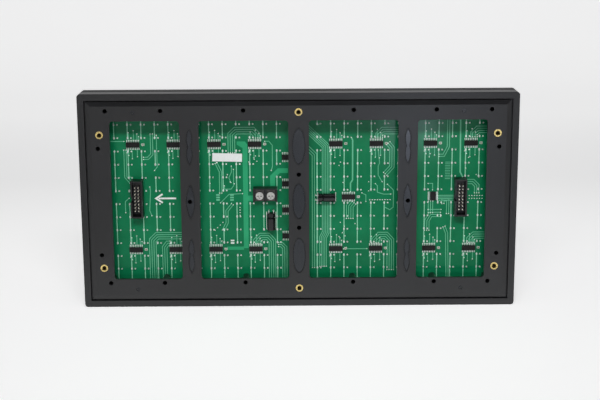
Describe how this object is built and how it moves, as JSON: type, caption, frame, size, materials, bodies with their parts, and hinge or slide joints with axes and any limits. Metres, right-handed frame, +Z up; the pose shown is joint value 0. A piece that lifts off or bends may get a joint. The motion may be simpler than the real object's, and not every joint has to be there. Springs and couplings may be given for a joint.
{
  "type": "led panel module",
  "caption": "Flat rectangular LED display module: windowed black rear housing over a green circuit board with data sockets and a power terminal, lamps through a louvred front mask.",
  "frame": {"origin": "middle of the bottom edge, halfway through the depth", "axes": "+X along the long side, +Z up, +Y out of the lamp face; the wiring side faces -Y"},
  "size_m": [0.32, 0.0256, 0.16],
  "materials": {
    "housing_plastic": "fine moulded grain",
    "mask_plastic": "matt moulded",
    "brass": "turned",
    "board": "solder mask",
    "lamp_epoxy": "tinted cast epoxy",
    "tinned_metal": "tin plated",
    "black_screws": "black zinc",
    "nickel_screws": "nickel plated",
    "socket_plastic": "moulded",
    "gilt_pins": "flash plated",
    "chip_resin": "moulded resin",
    "sleeve_film": "shrunk film",
    "can_metal": "drawn",
    "bung_rubber": "moulded",
    "ceramic": "fired",
    "label_paper": "bare paper"
  },
  "bodies": {
    "root": {"rear_housing": "housing_plastic", "brass_inserts": "brass", "circuit_board": "board", "lamps": "lamp_epoxy", "lamp_leads": "tinned_metal", "front_mask": "mask_plastic", "mask_screws": "black_screws", "data_in_shroud": "socket_plastic", "data_in_pins": "gilt_pins", "data_out_shroud": "socket_plastic", "data_out_pins": "gilt_pins", "terminal_block": "socket_plastic", "terminal_plates": "tinned_metal", "terminal_screws": "nickel_screws", "terminal_legs": "tinned_metal", "driver_chips": "chip_resin", "driver_leads": "tinned_metal", "buffer_chip": "chip_resin", "buffer_leads": "tinned_metal", "decoder_chip": "chip_resin", "decoder_leads": "tinned_metal", "switch_chips": "chip_resin", "switch_leads": "tinned_metal", "can_sleeves": "sleeve_film", "cans": "can_metal", "can_bungs": "bung_rubber", "can_leads": "tinned_metal", "bypass_chips": "ceramic", "bypass_ends": "tinned_metal", "paper_label": "label_paper"}
  },
  "joints": []
}
